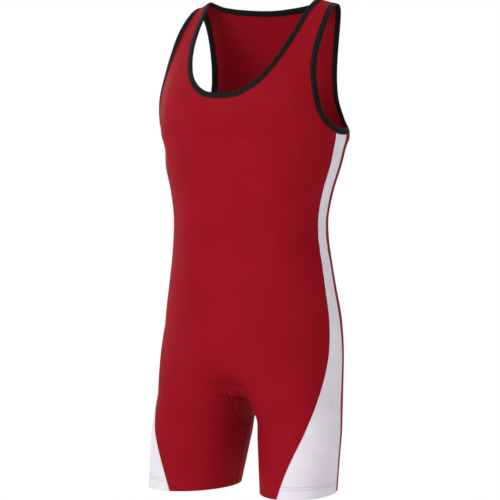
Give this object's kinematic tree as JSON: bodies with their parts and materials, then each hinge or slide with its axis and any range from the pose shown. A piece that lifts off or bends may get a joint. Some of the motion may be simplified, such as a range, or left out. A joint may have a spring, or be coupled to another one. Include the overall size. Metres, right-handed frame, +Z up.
{
  "type": "weightlifting singlet",
  "caption": "One-piece sleeveless sports suit with a scooped neck, shoulder straps, short legs, bound edges and a flaring band down each side, in its worn shape.",
  "frame": {"origin": "midway between the two shoulder straps, at the height where they lie on the wearer's shoulders", "axes": "+Z up from the legs to the shoulders, -Y out of the front of the garment, +X to the garment's left side"},
  "size_m": [0.3768, 0.2368, 0.9018],
  "materials": {
    "red_knit": "matte stretch knit, red",
    "black_binding": "matte folded knit binding, black",
    "white_band": "matte applied knit, white"
  },
  "bodies": {
    "root": {"front": "red_knit", "back": "red_knit", "gusset": "red_knit", "neck_binding": "black_binding", "armhole_binding_left": "black_binding", "armhole_binding_right": "black_binding", "side_band_left": "white_band", "side_band_right": "white_band"}
  },
  "joints": []
}
